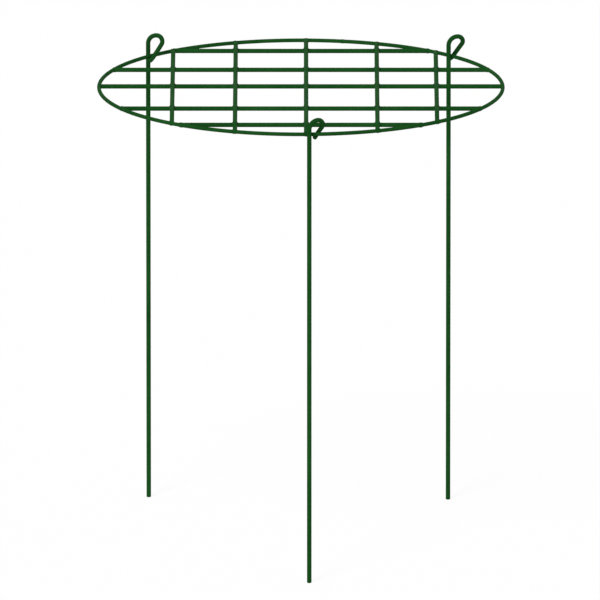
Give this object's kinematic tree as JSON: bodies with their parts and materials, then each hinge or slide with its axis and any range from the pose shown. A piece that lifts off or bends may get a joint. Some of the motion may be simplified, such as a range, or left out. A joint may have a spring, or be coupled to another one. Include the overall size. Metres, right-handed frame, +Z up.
{
  "type": "grow through plant support",
  "caption": "Round wire grid welded into a hoop, on wire legs that hook over the hoop and swing on it; plants grow up through the grid.",
  "frame": {"origin": "on the ground, under the middle of the hoop", "axes": "+Z up, -Y towards the front leg, +X to the right, along the row wires"},
  "size_m": [0.4, 0.4051, 0.4725],
  "materials": {
    "green_coating": "satin green coating on steel wire"
  },
  "bodies": {
    "grid": {"hoop": "green_coating", "row_wire_1": "green_coating", "row_wire_2": "green_coating", "row_wire_3": "green_coating", "row_wire_4": "green_coating", "row_wire_5": "green_coating", "column_wire_1": "green_coating", "column_wire_2": "green_coating", "column_wire_3": "green_coating", "column_wire_4": "green_coating", "column_wire_5": "green_coating"},
    "leg_front": {"leg_front": "green_coating"},
    "leg_back_left": {"leg_back_left": "green_coating"},
    "leg_back_right": {"leg_back_right": "green_coating"}
  },
  "joints": [
    {"name": "swing_front", "type": "hinge", "parent": "grid", "child": "leg_front", "pos_m": [0.01227, -0.19772, 0.45], "axis": [0.9981, 0.0619, 0], "range_deg": [-88, 88]},
    {"name": "swing_back_left", "type": "hinge", "parent": "grid", "child": "leg_back_left", "pos_m": [-0.148, 0.13168, 0.45], "axis": [-0.6647, -0.7471, 0], "range_deg": [-43, 86]},
    {"name": "swing_back_right", "type": "hinge", "parent": "grid", "child": "leg_back_right", "pos_m": [0.14821, 0.13145, 0.45], "axis": [-0.6635, 0.7481, 0], "range_deg": [-60, 72]}
  ]
}
